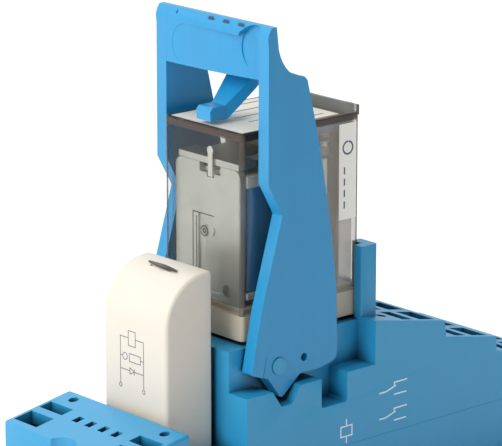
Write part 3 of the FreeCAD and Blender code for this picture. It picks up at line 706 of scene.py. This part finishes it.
@dataclass
class Socket(Assembly):
    """Rail-mount socket with its printed contact diagram."""

    body: str = "socket"
    soft: float = 0.22
    print_width: float = 0.26
    symbols: int = 2
    symbol_first: tuple[float, float] = (13.5, 13.8)
    symbol_pitch: float = 4.9
    coil_box: tuple[float, float, float, float] = (4.1, 6.8, 7.6, 9.5)
    coil_lead: float = 1.3

    def contact_symbol(self, x: float, z: float) -> list[np.ndarray]:
        """One changeover contact: the swinging arm and the two fixed contacts beside its tip.

        Args:
            x: Place of the arm's pivot along the socket.
            z: Its height.

        Returns:
            Three polylines.
        """
        arm = np.array([(x, z), (x + 1.6, z), (x + 4.1, z + 0.75)])
        upper = np.array([(x + 3.7, z + 0.85), (x + 3.7, z + 1.35), (x + 6.9, z + 1.4)])
        lower = np.array([(x + 3.7, z - 0.9), (x + 6.7, z - 0.9)])
        return [arm, upper, lower]

    def coil_symbol(self) -> list[np.ndarray]:
        """The relay coil as a box with a lead above and one below."""
        x0, x1, z0, z1 = self.coil_box
        middle = (x0 + x1) / 2
        leads = [np.array([(middle, z1), (middle, z1 + self.coil_lead)]),
                 np.array([(middle, z0), (middle, z0 - self.coil_lead)])]
        return [rectangle(x0, x1, z0, z1), *leads]

    def build(self) -> None:
        """Make the softened mouldings and the side print."""
        self.softened("socket_body", "socket_blue", self.soft)
        self.softened("socket_base", "socket_blue", self.soft)
        low, _ = corners("socket_body")
        x, z = self.symbol_first
        rows = [z - i * self.symbol_pitch for i in range(self.symbols)]
        paths = [path for row in rows for path in self.contact_symbol(x, row)]
        piece = marks("socket_print", Face.NEAR_SIDE, low[1], paths + self.coil_symbol(), self.print_width)
        self.seat(piece, "print_white", "socket_blue")
        self.dress_rest()


@dataclass
class Clip(Assembly):
    """Retaining and ejecting clip with the marks on its handle and the ring round its pivot."""

    body: str = "clip"
    soft: float = 0.28
    arrows_y: tuple[float, ...] = (0.4, -3.5, -7.4)
    arrow_z: float = 83.0
    arrow_size: float = 0.42
    handle_front: float = -11.7    # the side plates reach further forward than the handle does
    mark_sink: float = 0.22        # how far behind the handle's front the arrow marks are set
    dish: tuple[float, float, float] = (6.8, 77.4, 3.8)
    pivot: tuple[float, float] = (-9.3, 23.4)
    pivot_r: float = 1.56
    pivot_scribe: tuple[tuple[float, float], ...] = ((-12.9, 22.0), (-12.2, 25.4))
    plate_out: float = 14.85

    def build(self) -> None:
        """Make the softened clip, the marks and dish rim on its handle and the ring on its side."""
        self.softened("retaining_clip", "clip_blue", self.soft, 4)
        r, z = self.arrow_size, self.arrow_z
        bars = [np.array([(y - 2 * r, z), (y + 2 * r, z)]) for y in self.arrows_y]
        heads = [np.array([(y, z - r), (y, z + r)]) for y in self.arrows_y]
        face = self.handle_front + self.mark_sink
        self.seat(marks("handle_mark_bars", Face.FRONT, face, bars, 0.28), "print_dark", "clip_blue")
        # Painted shadow: the groove round the pivot and its scribe line are drawn as dark lines.
        ring = [arc(*self.pivot, self.pivot_r, -40, 200, 28), np.array(self.pivot_scribe)]
        self.seat(marks("clip_pivot_ring", Face.NEAR_SIDE, -self.plate_out, ring, 0.13), "groove_dark",
                  "clip_blue")
        # Painted shade: a darker line along the rim of the shallow dish in the handle.
        rim = [arc(*self.dish, -55, 75)]
        self.seat(marks("handle_dish_rim", Face.FRONT, self.handle_front, rim, 0.14), "groove_blue",
                  "clip_blue")
        self.seat(marks("handle_mark_heads", Face.FRONT, face, heads, 1.1, 0.03), "print_dark", "clip_blue")
        self.dress_rest()


@dataclass
class IndicatorModule(Assembly):
    """Plug-in module with the drawing of its circuit."""

    body: str = "module"
    line: float = 0.17
    rails_y: tuple[float, float] = (3.95, -2.35)
    slit_x: float = -23.2
    slit_y: float = -0.2
    slit_length: float = 8.5
    slit_half_width: float = 0.62
    slit_slant: float = 0.07
    slit_depths: tuple[float, float] = (-0.25, 0.02)

    def circuit(self) -> list[np.ndarray]:
        """Coil on top, a lamp with its resistor and a diode across the two rails, and two terminals.

        Returns:
            One polyline for each run of the drawing.
        """
        left, right = self.rails_y
        middle = (left + right) / 2
        coil_z, lamp_z, diode_z, end_z = 28.8, 25.3, 22.9, 20.2
        lamp_y, lamp_r = left - 1.25, 0.62
        paths = [
            np.array([(middle + 0.95, coil_z), (left, coil_z), (left, end_z)]),
            np.array([(middle - 0.95, coil_z), (right, coil_z), (right, end_z)]),
            rectangle(middle - 0.95, middle + 0.95, coil_z - 1.35, coil_z + 1.35),
            np.array([(left, lamp_z), (lamp_y + lamp_r, lamp_z)]),
            arc(lamp_y, lamp_z, lamp_r, 0, 350),
            rectangle(-1.5, 1.5, lamp_z - 0.72, lamp_z + 0.72),
            np.array([(-1.5, lamp_z), (right, lamp_z)]),
            np.array([(left, diode_z), (middle + 0.6, diode_z)]),
            np.array([(middle - 0.6, diode_z), (right, diode_z)]),
            np.array([(middle + 0.6, diode_z + 0.6), (middle + 0.6, diode_z - 0.6), (middle - 0.6, diode_z),
                      (middle + 0.6, diode_z + 0.6)]),
            np.array([(middle - 0.6, diode_z + 0.6), (middle - 0.6, diode_z - 0.6)]),
        ]
        return paths + [arc(y, end_z - 0.35, 0.35, 90, 430, 12) for y in self.rails_y]

    def shadow_plate_in_slit(self) -> bpy.types.Object:
        """Dark plate in the light slit, painted shadow of the slit's inside.

        Its half width at a share y of the half length is the full half width times (1 - |y|) to the
        power 0.7, so two shallow arcs meet in a point at each end.

        Returns:
            The lens, a thin closed plate.
        """
        _, high = corners("module_housing")
        y = np.linspace(-1.0, 1.0, 17)
        half = self.slit_half_width * (1 - np.abs(y)) ** 0.7 + 0.02
        across = np.concatenate([half, -half[::-1]])
        along = np.concatenate([y, y[::-1]]) * self.slit_length / 2 + self.slit_y
        flat = np.stack([self.slit_x + across + self.slit_slant * (along - self.slit_y), along], axis=1)
        count = len(flat)
        points = np.vstack([on_face(Face.TOP, high[2], flat, np.full(count, h)) for h in self.slit_depths])
        faces = [tuple(range(count)), tuple(range(2 * count - 1, count - 1, -1))]
        faces += [(i, (i + 1) % count, count + (i + 1) % count, count + i) for i in range(count)]
        # The dark plate is painted shadow of the slit's inside.
        lens = mesh_object("module_slit_shadow_plate", points, faces)
        turn_out(lens)
        return lens

    def build(self) -> None:
        """Make the softened housing, its print and the dark plate of painted shadow in its light slit."""
        self.softened("module_housing", "module_white", 0.3, 4)
        low, _ = corners("module_housing")
        print_piece = marks("module_print", Face.FRONT, low[0], self.circuit(), self.line)
        self.seat(print_piece, "print_grey", "module_white")
        self.seat(self.shadow_plate_in_slit(), "slit_shadow", "module_white")
        self.dress_rest()


@dataclass
class Relay(Assembly):
    """The relay itself, seen through its clear cover."""

    body: str = "relay"
    bar_rows: int = 5
    side_bar_gap: float = 1.3
    stamp: tuple[float, float, float, float] = (4.0, -1.6, 48.3, 37.5)
    rivet_rs: tuple[float, float] = (0.9, 0.35)

    def label_bars(self) -> list[np.ndarray]:
        """Neutral rows in place of the label's print, alternating long and short."""
        low, high = corners("top_label")
        x0, x1 = low[0] + 6.5, high[0] - 2.0
        half = (high[1] - low[1]) / 2 - 2.0
        rows = np.linspace(-half, half, self.bar_rows)
        return [np.array([(x0, y), (x1 - (4.5 if i % 2 else 0.0), y)]) for i, y in enumerate(rows)]

    def stamp_lines(self) -> list[np.ndarray]:
        """Bent line and small ring that the press leaves on the yoke."""
        left, right, top, low = self.stamp
        corner = np.array([(left, low), (left, top), (right, top)])
        inner = np.array([(left - 0.95, low), (left - 0.95, top - 0.7)])
        outer_r, inner_r = self.rivet_rs
        y, z = left - 3.0, top - 3.1
        return [corner, inner, arc(y, z, outer_r, 0, 350), arc(y, z, inner_r, 0, 350, 12)]

    def side_bars(self) -> list[np.ndarray]:
        """Neutral upright marks in place of the side label's print, and a plain ring."""
        low, high = corners("side_label")
        middle = (low[0] + high[0]) / 2
        tops = np.arange(low[2] + 2.0, high[2] - 7.5, self.side_bar_gap * 1.6)
        bars = [np.array([(middle - 0.8, z), (middle - 0.8, z + self.side_bar_gap)]) for z in tops]
        return bars + [arc(middle, high[2] - 4.4, 1.15, 90, 440)]

    def build(self) -> None:
        """Make the softened base and dress what the cover shows."""
        self.softened("relay_base", "relay_beige", 0.15)
        self.softened("relay_cover", "smoked_clear", 0.12, 2)
        self.softened("yoke", "yoke_steel", 0.15, 2)
        self.softened("coil_bobbin", "bobbin_white", 0.12, 2)
        self.softened("coil_tape", "tape_blue", 0.1, 2)
        self.own_finishes["side_label"] = "label_white"
        top, side, front = corners("top_label")[1][2], corners("side_label")[0][1], corners("yoke")[0][0]
        self.seat(marks("top_label_print", Face.TOP, top, self.label_bars(), 0.45), "print_grey",
                  "label_cream")
        # Painted shadow: the pressed line and ring on the yoke are drawn as dark marks.
        self.seat(marks("yoke_stamp", Face.FRONT, front, self.stamp_lines(), 0.22), "stamp_dark",
                  "yoke_steel")
        self.seat(marks("side_label_print", Face.NEAR_SIDE, side, self.side_bars(), 0.3), "print_dark",
                  "label_cream")
        self.dress_rest()


@dataclass
class MovingParts:
    """Armature group, test button and rail latch."""

    def build(self) -> None:
        """Dress the small moving bodies."""
        Assembly("armature").dress_rest()
        button = Assembly("button")
        button.softened("test_button", "button_blue", 0.12, 2)
        latch = Assembly("latch")
        latch.softened("rail_latch", "socket_blue", 0.15, 2)


# ---- studio -------------------------------------------------------------------------------------
@dataclass(frozen=True)
class AreaLight:
    """A round soft box aimed at the object."""

    name: str
    place: tuple[float, float, float]
    size: float
    watts: float
    colour: str = "#FFFFFF"


@dataclass
class Studio:
    """Pale floor, soft light and the camera."""

    azimuth: float = -41.46
    elevation: float = 15.01
    distance: float = 560.0
    aim: tuple[float, float, float] = (-9.56, -7.84, 47.82)
    lens: float = 231.05
    sensor: float = 36.0
    lights: tuple[AreaLight, ...] = (
        AreaLight("key", (-0.62, -0.02, 0.42), 0.45, 3.3, "#FFFCF6"),
        AreaLight("top", (0.15, 0.35, 1.10), 1.00, 5.0),
    )
    surround_low: float = 0.08     # dim part of the surround, that the shaded sides see
    surround_up: float = 0.42      # added straight above
    surround_left: float = 0.50    # added towards the coil end
    surround_back: float = 0.85    # added behind the object, a white backdrop that the tops mirror
    floor_half: float = 1500.0
    floor_gap: float = 0.02

    def camera(self) -> None:
        """Place the camera on its sight line, looking at the aim point."""
        az, el = math.radians(self.azimuth), math.radians(self.elevation)
        back = Vector((math.sin(az) * math.cos(el), -math.cos(az) * math.cos(el), math.sin(el)))
        data = bpy.data.cameras.new("camera")
        data.lens = self.lens
        data.sensor_width = self.sensor
        data.sensor_fit = "HORIZONTAL"
        data.clip_start = 0.01
        camera = bpy.data.objects.new("camera", data)
        place = (Vector(self.aim) + back * self.distance) * MM
        camera.matrix_world = Matrix.Translation(place) @ back.to_track_quat("Z", "Y").to_matrix().to_4x4()
        bpy.context.scene.collection.objects.link(camera)
        bpy.context.scene.camera = camera

    def light(self) -> None:
        """Add the soft boxes, and a surround that is bright above, at the coil end and behind."""
        for spec in self.lights:
            data = bpy.data.lights.new(spec.name, "AREA")
            data.shape = "DISK"
            data.size = spec.size
            data.energy = spec.watts
            data.color = linear(spec.colour)[:3]
            lamp = bpy.data.objects.new(spec.name, data)
            lamp.location = spec.place
            aim = Vector(self.aim) * MM - lamp.location
            lamp.rotation_euler = aim.to_track_quat("-Z", "Y").to_euler()
            bpy.context.scene.collection.objects.link(lamp)
        world = bpy.data.worlds.new("surround")
        world.use_nodes = True
        tree = world.node_tree
        tree.nodes.clear()
        way = add(tree, "ShaderNodeTexCoord").outputs["Generated"]
        axes = add(tree, "ShaderNodeSeparateXYZ", {0: way})
        up = add(tree, "ShaderNodeMapRange", {"Value": axes.outputs[2], "From Min": 0.0, "From Max": 1.0,
                                              "To Max": self.surround_up})
        left = add(tree, "ShaderNodeMapRange", {"Value": axes.outputs[0], "From Min": 0.0, "From Max": -1.0,
                                                "To Max": self.surround_left})
        back = add(tree, "ShaderNodeMapRange", {"Value": axes.outputs[1], "From Min": 0.1, "From Max": 0.8,
                                                "To Max": self.surround_back})
        sides = add(tree, "ShaderNodeMath", {0: left.outputs[0], 1: back.outputs[0]}, operation="ADD")
        all_ways = add(tree, "ShaderNodeMath", {0: up.outputs[0], 1: sides.outputs[0]}, operation="ADD")
        level = add(tree, "ShaderNodeMath", {0: all_ways.outputs[0], 1: self.surround_low}, operation="ADD")
        glow = add(tree, "ShaderNodeBackground", {"Color": linear("#FFFFFF"), "Strength": level.outputs[0]})
        add(tree, "ShaderNodeOutputWorld", {"Surface": glow.outputs[0]})
        bpy.context.scene.world = world
        bpy.context.scene.view_settings.view_transform = "Standard"

    def floor(self) -> None:
        """Lay a wide pale floor under the lowest face."""
        low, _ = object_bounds()
        half = self.floor_half
        z = low[2] / MM - self.floor_gap
        points = np.array([(-half, -half, z), (half, -half, z), (half, half, z), (-half, half, z)])
        floor = mesh_object("floor", points, [(0, 1, 2, 3)])
        floor.data.materials.append(Paper("floor_pale_card", "#FFFFFF", 0.9).material())
        floor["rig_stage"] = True

    def build(self) -> None:
        """Set up everything that isn't the object."""
        self.camera()
        self.light()
        self.floor()


def main() -> None:
    """Build the studio and every sub-assembly."""
    logging.basicConfig(level=logging.INFO, format="%(name)s: %(message)s")
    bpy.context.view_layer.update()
    Studio().build()
    PALETTE.build()
    for assembly in (Socket(), Clip(), IndicatorModule(), Relay(), MovingParts()):
        assembly.build()
        LOG.info("%s built", type(assembly).__name__)


if __name__ == "__main__":
    main()
